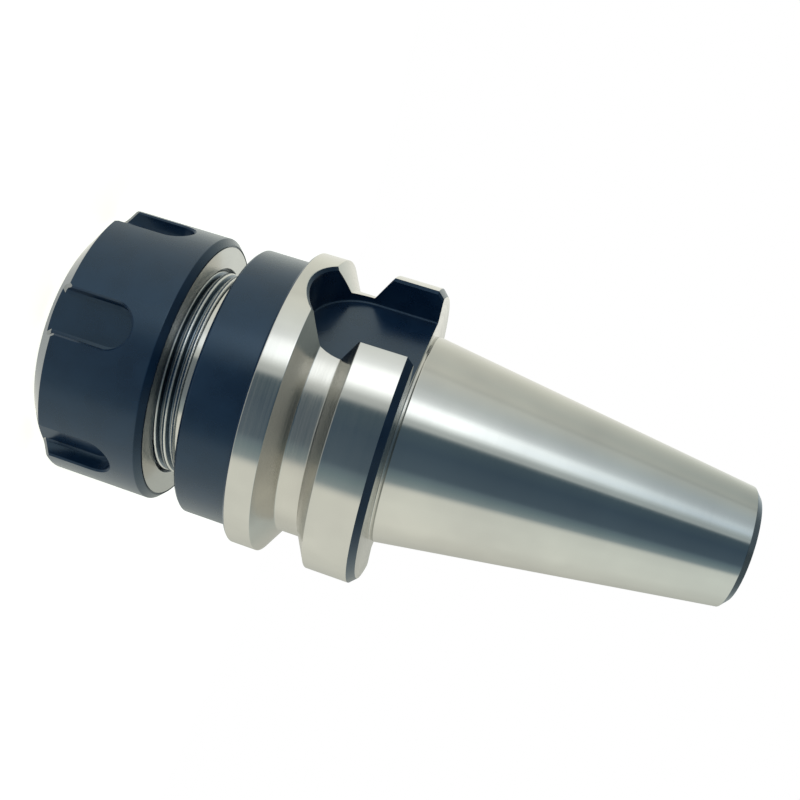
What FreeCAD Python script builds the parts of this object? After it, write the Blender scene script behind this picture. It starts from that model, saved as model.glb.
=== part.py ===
import FreeCAD, Part
import math
import os
import Sketcher

# A collet chuck for a milling spindle, in millimetres. It stands on the face of its nut. +Z runs
# along the spindle axis towards the small end of the taper, and the origin is the centre of the
# gauge plane, where the 7:24 taper has its nominal diameter.

document = FreeCAD.newDocument("collet_chuck")
sheet = document.addObject("Spreadsheet::Sheet", "Dimensions")

# Every driving dimension: its alias, its value and what it is.
DIMENSIONS = [
    ("gauge_diameter", 31.75, "taper diameter at the gauge plane"),
    ("taper_rise", 7.0, "the taper loses this much diameter"),
    ("taper_run", 24.0, "in this much length"),
    ("small_end_diameter", 17.633, "taper diameter at the small end, which sets its length"),
    ("small_end_chamfer", 1.0, "chamfer on the small end"),
    ("undercut_width", 1.5, "relief between taper and flange"),
    ("undercut_depth", 0.35, "depth of that relief below the gauge radius"),
    ("flange_gap", 2.0, "gauge plane to the back face of the flange"),
    ("flange_diameter", 46.0, "both gripper rings"),
    ("flange_back_chamfer", 1.0, "chamfer on the back edge of the flange"),
    ("flange_front_chamfer", 0.3, "chamfer on the front edge of the flange"),
    ("flange_front", 21.75, "gauge plane to the front face of the flange"),
    ("groove_centre", 13.6, "gauge plane to the middle of the gripper groove"),
    ("groove_width", 8.0, "width of the V-groove at the rings"),
    ("groove_diameter", 38.0, "bottom of the V-groove"),
    ("groove_flank_angle", 30.0, "each flank, from the plane of the ring"),
    ("key_width", 16.1, "width of the two drive-key slots"),
    ("key_floor", 16.3, "axis to the floor of a drive-key slot"),
    ("key_end", 19.5, "gauge plane to the round end of a drive-key slot"),
    ("key_chamfer", 0.5, "chamfer where the drive-key slots cut the gripper rings"),
    ("collar_diameter", 42.0, "dark collar in front of the flange"),
    ("collar_front", 30.15, "gauge plane to the front face of the collar"),
    ("collar_chamfer", 0.4, "chamfer on the front edge of the collar"),
    ("thread_diameter", 32.0, "major diameter of the nose thread"),
    ("thread_pitch", 1.5, "pitch of the nose thread, which sets its depth"),
    ("relief_width", 2.4, "thread relief beside the collar"),
    ("seat_clearance", 0.04, "radial gap between the collet and its seat"),
    ("seat_overrun", 1.5, "the seat runs on this far past the collet"),
    ("room_end", 8.0, "gauge plane to the bottom of the room for a long shank"),
    ("drill_point_angle", 59.0, "half the point angle of the drills"),
    ("through_diameter", 8.0, "through bore"),
    ("stud_drill_diameter", 10.2, "wall of the pull-stud thread"),
    ("stud_drill_depth", 34.0, "depth of that hole from the small end"),
    ("stud_pilot_diameter", 12.5, "pilot bore for the pull stud"),
    ("stud_pilot_depth", 7.0, "depth of the pilot bore"),
    ("nut_gap", 5.3, "collar to nut"),
    ("nut_diameter", 42.0, "clamping nut"),
    ("nut_length", 18.8, "clamping nut"),
    ("nut_face_diameter", 34.0, "flat face inside the front cone of the nut"),
    ("nut_cone_angle", 36.5, "front cone of the nut, from its face plane"),
    ("nut_back_chamfer", 0.9, "chamfer on the back edge of the nut"),
    ("nut_bore_clearance", 0.05, "radial gap between the nut and the thread crests"),
    ("nut_bore_chamfer", 0.5, "chamfer where the nut meets the thread"),
    ("nut_thread_runout", 2.4, "turned-out room behind the lip of the nut"),
    ("nut_room_diameter", 29.6, "diameter of that room"),
    ("nose_end_gap", 0.5, "end of the nose to the step in the nut"),
    ("nut_angle", 42.0, "how far round the nut stands"),
    ("slot_count", 6.0, "spanner slots"),
    ("slot_width", 6.9, "spanner slots"),
    ("slot_floor", 18.5, "axis to the floor of a spanner slot"),
    ("slot_length", 13.8, "face to the round end of a spanner slot"),
    ("mouth_land", 0.8, "straight land at the mouth of the nut"),
    ("cone_clearance", 0.08, "radial gap between the nut cone and the collet cone"),
    ("head_room", 0.4, "radial gap round the head of the collet"),
    ("lip_thickness", 1.6, "eccentric lip of the nut that pulls the collet out"),
    ("lip_play", 0.6, "axial play of that lip in the groove of the collet"),
    ("lip_opening", 26.4, "opening of the lip, which the collet head passes"),
    ("lip_offset", 0.9, "how far that opening is off the axis"),
    ("groove_room", 0.5, "the lip to the bottom of the collet groove"),
    ("collet_recess", 0.2, "nut face to collet face"),
    ("collet_length", 34.0, "collet"),
    ("collet_face_diameter", 22.0, "front face of the collet"),
    ("collet_head_diameter", 26.0, "head of the collet"),
    ("collet_head_angle", 30.0, "front cone of the collet, from its axis"),
    ("collet_head_land", 0.9, "straight land behind the front cone"),
    ("collet_shoulder_diameter", 25.6, "large end of the seating cone"),
    ("collet_seat_angle", 8.0, "seating cone, from its axis"),
    ("shank_diameter", 12.0, "bore of the collet"),
    ("shank_chamfer", 0.4, "chamfer where a shank goes in"),
    ("slit_count", 8.0, "slits from each end of the collet"),
    ("slit_width", 0.9, "slits of the collet"),
    ("front_slit_stop", 5.0, "front slits end this far from the back"),
    ("back_slit_stop", 5.0, "back slits end this far from the front"),
]

for row, (alias, value, meaning) in enumerate(DIMENSIONS, start=1):
    sheet.set(f"A{row}", meaning)
    sheet.set(f"B{row}", str(value))
    sheet.setAlias(f"B{row}", alias)
document.recompute()


def size(alias):
    """The expression that reads one cell of the sheet."""
    return f"Dimensions.{alias}"


def half(alias):
    """The expression for half of one cell: a radius from a diameter."""
    return f"(Dimensions.{alias} / 2)"


# Places that several pieces share, as expressions.
# Heights in the nut and the collet are measured upwards from the face of each.
HEAD_CONE = f"(({half('collet_head_diameter')} - {half('collet_face_diameter')})"
HEAD_CONE += f" / tan({size('collet_head_angle')}))"
HEAD_END = f"({HEAD_CONE} + {size('collet_head_land')})"
COLLET_GROOVE_WIDTH = f"({size('lip_thickness')} + 2 * {size('lip_play')})"
SHOULDER = f"({HEAD_END} + {COLLET_GROOVE_WIDTH})"
LIP_LOW = f"({size('collet_recess')} + {HEAD_END} + {size('lip_play')})"
LIP_HIGH = f"({LIP_LOW} + {size('lip_thickness')})"
NUT_STEP = f"({LIP_HIGH} + {size('nut_thread_runout')})"
NOSE_END_IN_NUT = f"({NUT_STEP} + {size('nose_end_gap')})"
LIP_RADIUS = f"({half('lip_opening')} - {size('lip_offset')})"
COLLET_GROOVE_RADIUS = f"({LIP_RADIUS} - {size('groove_room')})"

# A metric thread is cut 0.6134 of its pitch deep, and the chamfer on its first turn goes to the
# same depth. The relief beside the collar goes half as deep.
THREAD_DEPTH = f"(0.6134 * {size('thread_pitch')})"
RELIEF_DEPTH = f"({THREAD_DEPTH} / 2)"

# The same in the frame of the whole part.
NUT_FACE = f"(-{size('collar_front')} - {size('nut_gap')} - {size('nut_length')})"
COLLET_FACE = f"({NUT_FACE} + {size('collet_recess')})"
NOSE_END = f"({NUT_FACE} + {NOSE_END_IN_NUT})"
SEAT_END = f"({COLLET_FACE} + {size('collet_length')} + {size('seat_overrun')})"


def taper_radius(height):
    """Radius of the spindle taper at a height above the gauge plane."""
    slope = f"{size('taper_rise')} / {size('taper_run')} / 2"
    return f"({half('gauge_diameter')} - ({height}) * {slope})"


def seat_radius(height):
    """Radius of the collet seat at a height of the whole part: the collet's cone and its gap."""
    rise = f"({height} - {COLLET_FACE} - {SHOULDER})"
    cone = f"{half('collet_shoulder_diameter')} - {rise} * tan({size('collet_seat_angle')})"
    return f"({cone} + {size('seat_clearance')})"


def new_body(label):
    """An empty body whose label names its file."""
    body = document.addObject("PartDesign::Body", label)
    body.Label = label
    return body


def new_sketch(body, name, role):
    """A sketch on one of the body's own origin planes."""
    plane = next(item for item in body.Origin.OriginFeatures if item.Role == role)
    sketch = body.newObject("Sketcher::SketchObject", name)
    sketch.AttachmentSupport = (plane, [""])
    sketch.MapMode = "FlatFace"
    return sketch


def number(expression):
    """The value of an expression now, so that a sketch starts at its solution."""
    return float(sheet.evalExpression(expression))


def hold(sketch, kind, edge, end, distance):
    """Holds one end of an edge at a distance from the sketch's origin, across or up."""
    now = number(distance)
    constraint = sketch.addConstraint(Sketcher.Constraint(kind, -1, 1, edge, end, now))
    sketch.setExpression(f"Constraints[{constraint}]", distance)


def pin_point(sketch, edge, end, across, up):
    """Holds one end of an edge both ways."""
    hold(sketch, "DistanceX", edge, end, across)
    hold(sketch, "DistanceY", edge, end, up)


def draw_outline(sketch, corners):
    """A closed outline of straight edges through corners, each a pair of expressions."""
    places = [FreeCAD.Vector(number(across), number(up), 0) for across, up in corners]
    count = len(corners)
    for index in range(count):
        start, finish = places[index], places[(index + 1) % count]
        sketch.addGeometry(Part.LineSegment(start, finish), False)
    for index in range(count):
        following = (index + 1) % count
        sketch.addConstraint(Sketcher.Constraint("Coincident", index, 2, following, 1))
    for index, (across, up) in enumerate(corners):
        pin_point(sketch, index, 1, across, up)


def draw_round_slot(sketch, half_width, open_end, round_centre):
    """A slot with parallel sides: square at the open end, a half circle at the other."""
    side, top, centre = number(half_width), number(open_end), number(round_centre)
    corners = [(-side, centre), (-side, top), (side, top), (side, centre)]
    places = [FreeCAD.Vector(across, up, 0) for across, up in corners]
    for start, finish in zip(places, places[1:]):
        sketch.addGeometry(Part.LineSegment(start, finish), False)
    middle = FreeCAD.Vector(0, centre, 0)
    circle = Part.Circle(middle, FreeCAD.Vector(0, 0, 1), side)
    start_angle = 0.0 if centre > top else math.pi
    sketch.addGeometry(Part.ArcOfCircle(circle, start_angle, start_angle + math.pi), False)
    left, right = (0, 1), (2, 2)
    first, last = (right, left) if centre > top else (left, right)
    sketch.addConstraint(Sketcher.Constraint("Coincident", 0, 2, 1, 1))
    sketch.addConstraint(Sketcher.Constraint("Coincident", 1, 2, 2, 1))
    sketch.addConstraint(Sketcher.Constraint("Coincident", 3, 1, *first))
    sketch.addConstraint(Sketcher.Constraint("Coincident", 3, 2, *last))
    pin_point(sketch, 1, 1, f"-{half_width}", open_end)
    pin_point(sketch, 1, 2, half_width, open_end)
    pin_point(sketch, *left, f"-{half_width}", round_centre)
    pin_point(sketch, *right, half_width, round_centre)
    hold(sketch, "DistanceY", 3, 3, round_centre)


def revolve(body, sketch):
    """Turns a half profile once round the sketch's vertical axis."""
    turned = body.newObject("PartDesign::Revolution", f"{sketch.Name}_turned")
    turned.Profile = sketch
    turned.ReferenceAxis = (sketch, ["V_Axis"])
    turned.Angle = 360.0
    document.recompute()
    return turned


def pocket(body, sketch, depth, both_sides=False):
    """Cuts a sketch outwards, away from the axis, or evenly to both sides."""
    cut = body.newObject("PartDesign::Pocket", f"{sketch.Name}_cut")
    cut.Profile = sketch
    cut.setExpression("Length", depth)
    if both_sides:
        cut.Midplane = True
    else:
        cut.Reversed = True
    document.recompute()
    return cut


def repeat_round(body, feature, count):
    """Repeats a cut evenly about the spindle axis."""
    pattern = body.newObject("PartDesign::PolarPattern", f"{feature.Name}_pattern")
    pattern.Originals = [feature]
    axis = next(item for item in body.Origin.OriginFeatures if item.Role == "Z_Axis")
    pattern.Axis = (axis, [""])
    pattern.Angle = 360.0
    pattern.setExpression("Occurrences", count)
    body.Tip = pattern
    document.recompute()
    return pattern


def slot_edges(shape, radius, floor):
    """The names of the edges that slots cut in a round wall, all further out than their floor."""
    names = []
    for index, edge in enumerate(shape.Edges, start=1):
        first, last = edge.ParameterRange
        places = [edge.valueAt(first + share * (last - first)) for share in (0.0, 0.5, 1.0)]
        on_wall = all(abs(math.hypot(place.x, place.y) - radius) < 1e-4 for place in places)
        in_slot = all(abs(place.y) > floor for place in places)
        level = abs(places[0].z - places[2].z) < 1e-6
        if on_wall and in_slot and not level:
            names.append(f"Edge{index}")
    return names


def make_chuck_body():
    """The one-piece body: a turned profile with two milled drive-key slots."""
    body = new_body("chuck_body")
    small_radius = half("small_end_diameter")
    slimming = f"({size('gauge_diameter')} - {size('small_end_diameter')})"
    small_end = f"({slimming} * {size('taper_run')} / {size('taper_rise')})"
    end_chamfer = size("small_end_chamfer")
    chamfer_height = f"({small_end} - {end_chamfer})"
    undercut_radius = f"({half('gauge_diameter')} - {size('undercut_depth')})"
    undercut_top = f"({size('undercut_width')} - {size('flange_gap')})"
    rim = half("flange_diameter")
    back = size("flange_gap")
    front = size("flange_front")
    groove_depth = f"({rim} - {half('groove_diameter')})"
    flank = f"({groove_depth} * tan({size('groove_flank_angle')}))"
    groove_back = f"({size('groove_centre')} - {size('groove_width')} / 2)"
    groove_front = f"({size('groove_centre')} + {size('groove_width')} / 2)"
    collar = half("collar_diameter")
    shoulder = size("collar_front")
    thread = half("thread_diameter")
    thread_root = f"({thread} - {THREAD_DEPTH})"
    relief = f"({thread} - {RELIEF_DEPTH})"
    room = seat_radius(SEAT_END)
    room_bottom = f"(-{size('room_end')})"
    through = half("through_diameter")
    point = f"tan({size('drill_point_angle')})"
    drill = half("stud_drill_diameter")
    drill_bottom = f"({small_end} - {size('stud_drill_depth')})"
    pilot = half("stud_pilot_diameter")
    pilot_bottom = f"({small_end} - {size('stud_pilot_depth')})"
    corners = [
        (pilot, small_end),
        (f"({small_radius} - {end_chamfer})", small_end),
        (taper_radius(chamfer_height), chamfer_height),
        (taper_radius(undercut_top), undercut_top),
        (undercut_radius, f"({undercut_top} - {size('undercut_depth')})"),
        (undercut_radius, f"-{back}"),
        (f"({rim} - {size('flange_back_chamfer')})", f"-{back}"),
        (rim, f"-({back} + {size('flange_back_chamfer')})"),
        (rim, f"-{groove_back}"),
        (half("groove_diameter"), f"-({groove_back} + {flank})"),
        (half("groove_diameter"), f"-({groove_front} - {flank})"),
        (rim, f"-{groove_front}"),
        (rim, f"-({front} - {size('flange_front_chamfer')})"),
        (f"({rim} - {size('flange_front_chamfer')})", f"-{front}"),
        (collar, f"-{front}"),
        (collar, f"-({shoulder} - {size('collar_chamfer')})"),
        (f"({collar} - {size('collar_chamfer')})", f"-{shoulder}"),
        (relief, f"-{shoulder}"),
        (relief, f"-({shoulder} + {size('relief_width')})"),
        (thread, f"-({shoulder} + {size('relief_width')} + {RELIEF_DEPTH})"),
        (thread, f"({NOSE_END} + {THREAD_DEPTH})"),
        (thread_root, NOSE_END),
        (seat_radius(NOSE_END), NOSE_END),
        (room, SEAT_END),
        (room, room_bottom),
        (through, f"({room_bottom} + ({room} - {through}) / {point})"),
        (through, f"({drill_bottom} - ({drill} - {through}) / {point})"),
        (drill, drill_bottom),
        (drill, f"({pilot_bottom} - ({pilot} - {drill}))"),
        (pilot, pilot_bottom),
    ]
    profile = new_sketch(body, "chuck_profile", "XZ_Plane")
    draw_outline(profile, corners)
    revolve(body, profile)
    keyway = new_sketch(body, "keyway", "XZ_Plane")
    keyway.setExpression("AttachmentOffset.Base.z", size("key_floor"))
    centre = f"(-({size('key_end')} - {half('key_width')}))"
    draw_round_slot(keyway, half("key_width"), "0", centre)
    cut = pocket(body, keyway, rim)
    slots = repeat_round(body, cut, "2")
    bevel = body.newObject("PartDesign::Chamfer", "key_rims")
    bevel.Base = (slots, slot_edges(slots.Shape, number(rim), number(size("key_floor"))))
    bevel.setExpression("Size", size("key_chamfer"))
    document.recompute()
    return body


def make_clamping_nut():
    """The nut: a turned ring with a steep front cone, six spanner slots and an eccentric lip."""
    body = new_body("clamping_nut")
    outside = half("nut_diameter")
    face = half("nut_face_diameter")
    length = size("nut_length")
    back_chamfer = size("nut_back_chamfer")
    bore = f"({half('thread_diameter')} + {size('nut_bore_clearance')})"
    bore_chamfer = size("nut_bore_chamfer")
    room = half("nut_room_diameter")
    head = f"({half('collet_head_diameter')} + {size('head_room')})"
    cone = f"tan({size('collet_head_angle')})"
    land = size("mouth_land")
    cone_start = f"({half('collet_face_diameter')} + {size('cone_clearance')})"
    mouth = f"({cone_start} + ({land} - {size('collet_recess')}) * {cone})"
    cone_top = f"({size('collet_recess')} + ({head} - {cone_start}) / {cone})"
    lip = f"({LIP_RADIUS} - {size('groove_room')} / 2)"
    corners = [
        (mouth, "0"),
        (face, "0"),
        (outside, f"(({outside} - {face}) * tan({size('nut_cone_angle')}))"),
        (outside, f"({length} - {back_chamfer})"),
        (f"({outside} - {back_chamfer})", length),
        (f"({bore} + {bore_chamfer})", length),
        (bore, f"({length} - {bore_chamfer})"),
        (bore, NUT_STEP),
        (room, NUT_STEP),
        (room, LIP_HIGH),
        (lip, LIP_HIGH),
        (lip, LIP_LOW),
        (head, LIP_LOW),
        (head, cone_top),
        (mouth, land),
    ]
    profile = new_sketch(body, "nut_profile", "XZ_Plane")
    draw_outline(profile, corners)
    revolve(body, profile)

    # The eccentric opening leaves the lip widest on one side, where it hooks into the collet.
    opening = new_sketch(body, "lip_opening", "XY_Plane")
    opening.setExpression("AttachmentOffset.Base.z", LIP_LOW)
    radius = number(half("lip_opening"))
    offset = number(size("lip_offset"))
    circle = Part.Circle(FreeCAD.Vector(offset, 0, 0), FreeCAD.Vector(0, 0, 1), radius)
    opening.addGeometry(circle, False)
    wide = opening.addConstraint(Sketcher.Constraint("Radius", 0, radius))
    opening.setExpression(f"Constraints[{wide}]", half("lip_opening"))
    pin_point(opening, 0, 3, size("lip_offset"), "0")
    pocket(body, opening, size("lip_thickness"))

    slot = new_sketch(body, "spanner_slot", "XZ_Plane")
    slot.setExpression("AttachmentOffset.Base.z", size("slot_floor"))
    centre = f"({size('slot_length')} - {half('slot_width')})"
    draw_round_slot(slot, half("slot_width"), f"-{size('slot_width')}", centre)
    cut = pocket(body, slot, outside)
    repeat_round(body, cut, size("slot_count"))
    body.Placement.Rotation = FreeCAD.Rotation(FreeCAD.Vector(0, 0, 1), 1.0)
    body.setExpression("Placement.Rotation.Angle", size("nut_angle"))
    body.setExpression("Placement.Base.z", NUT_FACE)
    return body


def make_collet():
    """The collet: a turned double cone, slit from both ends in turn."""
    body = new_body("collet")
    length = size("collet_length")
    head = half("collet_head_diameter")
    shoulder = half("collet_shoulder_diameter")
    slope = f"tan({size('collet_seat_angle')})"
    tail = f"({shoulder} - ({length} - {SHOULDER}) * {slope})"
    shank = half("shank_diameter")
    chamfer = size("shank_chamfer")
    corners = [
        (f"({shank} + {chamfer})", "0"),
        (half("collet_face_diameter"), "0"),
        (head, HEAD_CONE),
        (head, HEAD_END),
        (COLLET_GROOVE_RADIUS, HEAD_END),
        (COLLET_GROOVE_RADIUS, SHOULDER),
        (shoulder, SHOULDER),
        (tail, length),
        (shank, length),
        (shank, chamfer),
    ]
    profile = new_sketch(body, "collet_profile", "XZ_Plane")
    draw_outline(profile, corners)
    revolve(body, profile)

    # Each slit is cut from the hollow middle outwards, past the widest part of the collet.
    beyond = size("slit_width")
    past_head = f"({head} + {beyond})"
    reaches = {
        "front_slit": (f"-{beyond}", f"({length} - {size('front_slit_stop')})"),
        "back_slit": (size("back_slit_stop"), f"({length} + {beyond})"),
    }
    for name, (low, high) in reaches.items():
        slit = new_sketch(body, name, "XZ_Plane")
        draw_outline(slit, [("0", low), (past_head, low), (past_head, high), ("0", high)])
        if name == "back_slit":
            slit.AttachmentOffset.Rotation = FreeCAD.Rotation(FreeCAD.Vector(0, 1, 0), 1.0)
            half_step = f"180 / {size('slit_count')}"
            slit.setExpression("AttachmentOffset.Rotation.Angle", half_step)
        cut = pocket(body, slit, size("slit_width"), both_sides=True)
        repeat_round(body, cut, size("slit_count"))
    body.setExpression("Placement.Base.z", COLLET_FACE)
    return body


pieces = [make_chuck_body(), make_collet(), make_clamping_nut()]
document.recompute()

faults = []
for item in document.Objects:
    if "Invalid" in item.State or "Error" in item.State:
        faults.append(f"{item.Label} did not build")
for piece in pieces:
    shape = piece.Shape
    if shape.isNull() or not shape.isValid() or len(shape.Solids) != 1:
        faults.append(f"{piece.Label} is not one valid solid")
if faults:
    raise RuntimeError("; ".join(faults))

os.makedirs("parts", exist_ok=True)
for piece in pieces:
    piece.Shape.exportStep(f"parts/{piece.Label}.step")
    box = piece.Shape.BoundBox
    print(f"{piece.Label}: {piece.Shape.Volume:.1f} cubic mm, z {box.ZMin:.2f} to {box.ZMax:.2f}")
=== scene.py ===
# %% [markdown]
# # A collet chuck in ground and black-oxide steel
#
# The part is a tool holder: a steel shank with a 7:24 spindle taper, a grooved gripper flange, a
# dark collar and a threaded nose, where a slotted nut closes a slit collet on a cutter. Nothing on
# it is soft, so its looks rest on three things: true round surfaces, edges that are eased just
# enough to catch the light, and steel that shows which machine finished it.
#
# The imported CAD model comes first. It gives the places of the pieces, and it is never moved.

# %% The frame
import math

import bpy
import numpy as np
from mathutils import Matrix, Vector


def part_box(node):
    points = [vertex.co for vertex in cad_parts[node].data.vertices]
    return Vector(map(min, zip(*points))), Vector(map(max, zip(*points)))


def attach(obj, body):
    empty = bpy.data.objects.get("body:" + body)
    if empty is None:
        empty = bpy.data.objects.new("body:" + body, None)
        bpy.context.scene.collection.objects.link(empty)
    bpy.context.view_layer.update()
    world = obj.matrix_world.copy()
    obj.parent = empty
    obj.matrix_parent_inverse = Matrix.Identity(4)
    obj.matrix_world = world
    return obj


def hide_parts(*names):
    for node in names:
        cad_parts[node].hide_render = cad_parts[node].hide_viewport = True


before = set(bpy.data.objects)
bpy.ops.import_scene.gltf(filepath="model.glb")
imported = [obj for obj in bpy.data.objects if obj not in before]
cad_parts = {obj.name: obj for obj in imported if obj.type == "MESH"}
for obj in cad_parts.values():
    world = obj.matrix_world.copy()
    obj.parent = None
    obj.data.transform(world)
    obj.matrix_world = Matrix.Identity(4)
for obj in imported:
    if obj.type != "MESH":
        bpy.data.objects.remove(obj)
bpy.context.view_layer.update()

MM = 0.001

# %% [markdown]
# ## Main sizes
#
# All lengths below are millimetres. Heights run along the spindle axis: zero is the gauge plane,
# where the taper is 31.75 mm across, and the taper points up. The ends of the pieces could be
# typed in again, but they are read from the frame, so that the looks can't drift from the model.

# %% Heights read from the frame
chuck_low, chuck_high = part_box("chuck_body")
nut_low, nut_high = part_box("clamping_nut")
collet_low, collet_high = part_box("collet")
SMALL_END = chuck_high.z / MM
NOSE_END = chuck_low.z / MM
NUT_FACE = nut_low.z / MM
NUT_BACK = nut_high.z / MM
COLLET_FACE = collet_low.z / MM
COLLET_BACK = collet_high.z / MM
print(f"small end {SMALL_END:.2f}, nose {NOSE_END:.2f}, nut {NUT_FACE:.2f} to {NUT_BACK:.2f} mm")

# %% [markdown]
# The frame doesn't name the steps between those ends. They are the sizes of the machined bar:
# the taper, the two gripper rings with their V-groove, the collar and the thread.

# %% Steps of the bar
TAPER_SLOPE = 7 / 24 / 2
GAUGE_RADIUS = 31.75 / 2
SMALL_RADIUS = GAUGE_RADIUS - SMALL_END * TAPER_SLOPE
FLANGE_RADIUS = 23.0
FLANGE_BACK = -2.0
FLANGE_FRONT = -21.75
GROOVE_MIDDLE = -13.6
GROOVE_HALF_WIDTH = 4.0
GROOVE_RADIUS = 19.0
COLLAR_RADIUS = 21.0
COLLAR_FRONT = -30.15
CREST_RADIUS = 16.0
THREAD_CORE = 15.2
PITCH = 1.5
RELIEF_RADIUS = CREST_RADIUS - 0.46
RELIEF_END = COLLAR_FRONT - 2.35
print(f"taper {2 * SMALL_RADIUS:.2f} mm across at its small end")


# %% [markdown]
# ## Colours and nodes
#
# Colours are written as the sRGB hex values that a paint chart or a screen shows, and a shader
# works with linear light, so one function converts them. A second small function adds a node with
# its settings and its links, which keeps every material below readable as a list of steps.

# %% From hex to linear light
def linear(hex_colour):
    """Turns #rrggbb, as a screen shows it, into linear light with an alpha of one.

    A share up to 0.04045 is divided by 12.92, and above it, it is raised to the power 2.4."""
    shown = np.array([int(hex_colour[place:place + 2], 16) for place in (1, 3, 5)]) / 255
    light = np.where(shown <= 0.04045, shown / 12.92, ((shown + 0.055) / 1.055) ** 2.4)
    return (*light.tolist(), 1.0)


print("middle grey in linear light:", round(linear("#808080")[0], 3))


# %% One node with its links
def add_node(tree, kind, inputs=None, **settings):
    """Adds one node. An input is a plain value, or another node's output, which is linked."""
    node = tree.nodes.new(kind)
    for name, value in settings.items():
        setattr(node, name, value)
    for name, value in (inputs or {}).items():
        if isinstance(value, bpy.types.NodeSocket):
            tree.links.new(value, node.inputs[name])
        else:
            node.inputs[name].default_value = value
    return node


def new_material(name):
    """A material with an empty node tree."""
    material = bpy.data.materials.new(name)
    material.use_nodes = True
    material.node_tree.nodes.clear()
    return material


MIX_COLOURS = {"data_type": "RGBA"}
MIX_SHARE, MIX_FIRST, MIX_SECOND, MIX_RESULT = 0, 6, 7, 2
print("a colour mix reads its inputs", MIX_SHARE, MIX_FIRST, "and", MIX_SECOND)


# %% [markdown]
# ## The marks that a machine leaves
#
# Turning and cylindrical grinding both drag their grit round the axis, so every mark is a circle:
# fine across the surface and very long around it. A ring texture about the axis could draw them,
# but its rings would all be alike. A noise is used instead, squeezed hard along the height and
# along the radius, and stretched around. Using the height and the radius together means that one
# pattern serves cylinders, tapers and flat end faces alike.
#
# Real grinding marks are 0.03 to 0.05 mm apart and real turning marks about 0.08 mm, too fine for
# the picture, so they are drawn about five and four times as coarse.

# %% The pattern of round marks
def round_marks(tree, spacing, arc):
    """A value from 0 to 1 that changes every `spacing` mm across and every `arc` mm around.

    It is noise in four dimensions: x and y over the arc, z and the radius over the spacing."""
    place = add_node(tree, "ShaderNodeTexCoord").outputs["Object"]
    axes = add_node(tree, "ShaderNodeSeparateXYZ", {"Vector": place})
    flat = add_node(tree, "ShaderNodeCombineXYZ",
                    {"X": axes.outputs["X"], "Y": axes.outputs["Y"]})
    radius = add_node(tree, "ShaderNodeVectorMath", {0: flat.outputs[0]}, operation="LENGTH")
    across = 1 / (spacing * MM)
    around = 1 / (arc * MM)
    squeezed = add_node(tree, "ShaderNodeVectorMath",
                        {0: place, 1: (around, around, across)}, operation="MULTIPLY")
    outward = add_node(tree, "ShaderNodeMath",
                       {0: radius.outputs["Value"], 1: across}, operation="MULTIPLY")
    noise = add_node(tree, "ShaderNodeTexNoise",
                     {"Vector": squeezed.outputs[0], "W": outward.outputs[0],
                      "Scale": 1.0, "Detail": 2.0, "Roughness": 0.55},
                     noise_dimensions="4D")
    return noise.outputs[0]


GRINDING_MARKS = 0.22
TURNING_MARKS = 0.30
MARK_ARC = 12.0
print(f"marks {GRINDING_MARKS} and {TURNING_MARKS} mm apart, {MARK_ARC} mm long")


# %% [markdown]
# ## Bare steel
#
# The taper and the gripper rings are hardened alloy steel, ground bright: a metal with a light
# grey colour and the default index of refraction. Its circles spread a reflection along the axis
# and leave it sharp around, which is what anisotropic shading with a tangent round Z does. The
# grit also moves the roughness a little from ring to ring, and a slow cloud keeps the colour from
# being one flat value. The same function serves every bare surface, from lapped to worn.

# %% Steel with round marks
CLOUD_SIZE = 9.0
# A noise stays mostly between these two values, so they are stretched to the whole range.
NOISE_RANGE = {"From Min": 0.3, "From Max": 0.7}


def bright_steel(name, dark, light, smooth, rough, spacing, depth):
    """Bare steel with round marks: they vary its roughness from smooth to rough and groove its
    surface, `depth` mm deep. A cloudy noise mixes the dark colour with the light one."""
    material = new_material(name)
    tree = material.node_tree
    marks = round_marks(tree, spacing, MARK_ARC)
    place = add_node(tree, "ShaderNodeTexCoord").outputs["Object"]
    clouds = add_node(tree, "ShaderNodeTexNoise",
                      {"Vector": place, "Scale": 1 / (CLOUD_SIZE * MM), "Detail": 2.0})
    share = add_node(tree, "ShaderNodeMapRange", {"Value": clouds.outputs[0], **NOISE_RANGE})
    colour = add_node(tree, "ShaderNodeMix",
                      {MIX_SHARE: share.outputs[0], MIX_FIRST: linear(dark),
                       MIX_SECOND: linear(light)}, **MIX_COLOURS)
    bump = add_node(tree, "ShaderNodeBump",
                    {"Height": marks, "Strength": 1.0, "Distance": depth * MM})
    around = add_node(tree, "ShaderNodeTangent", direction_type="RADIAL", axis="Z")
    roughness = add_node(tree, "ShaderNodeMapRange",
                         {"Value": marks, **NOISE_RANGE, "To Min": smooth, "To Max": rough})
    surface = add_node(tree, "ShaderNodeBsdfPrincipled",
                       {"Base Color": colour.outputs[MIX_RESULT], "Metallic": 1.0,
                        "Anisotropic": 0.7, "Anisotropic Rotation": 0.25,
                        "Tangent": around.outputs[0], "Roughness": roughness.outputs[0],
                        "Normal": bump.outputs[0]})
    add_node(tree, "ShaderNodeOutputMaterial", {"Surface": surface.outputs[0]})
    return material


# Cylindrical grinding leaves an almost mirror-like steel, blurred only along the axis.
GROUND = bright_steel("fine_ground_steel", "#c4c3be", "#cecdc7", 0.10, 0.15, GRINDING_MARKS, 0.001)
# A turning tool leaves wider circles, so the groove and the shoulder look duller and warmer.
TURNED = bright_steel("turned_steel", "#c3c1bb", "#d0cec7", 0.17, 0.27, TURNING_MARKS, 0.002)
# Thin black oxide that the nut has rubbed leaves the thread a blue-grey metal.
BLUED = bright_steel("blued_thread_steel", "#707d88", "#7c8892", 0.20, 0.30, TURNING_MARKS, 0.002)
# Loose grit on a flat plate leaves an even, soft grey face.
LAPPED = bright_steel("lapped_steel", "#c8c7c2", "#d0cfc9", 0.19, 0.26, GRINDING_MARKS, 0.001)
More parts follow.
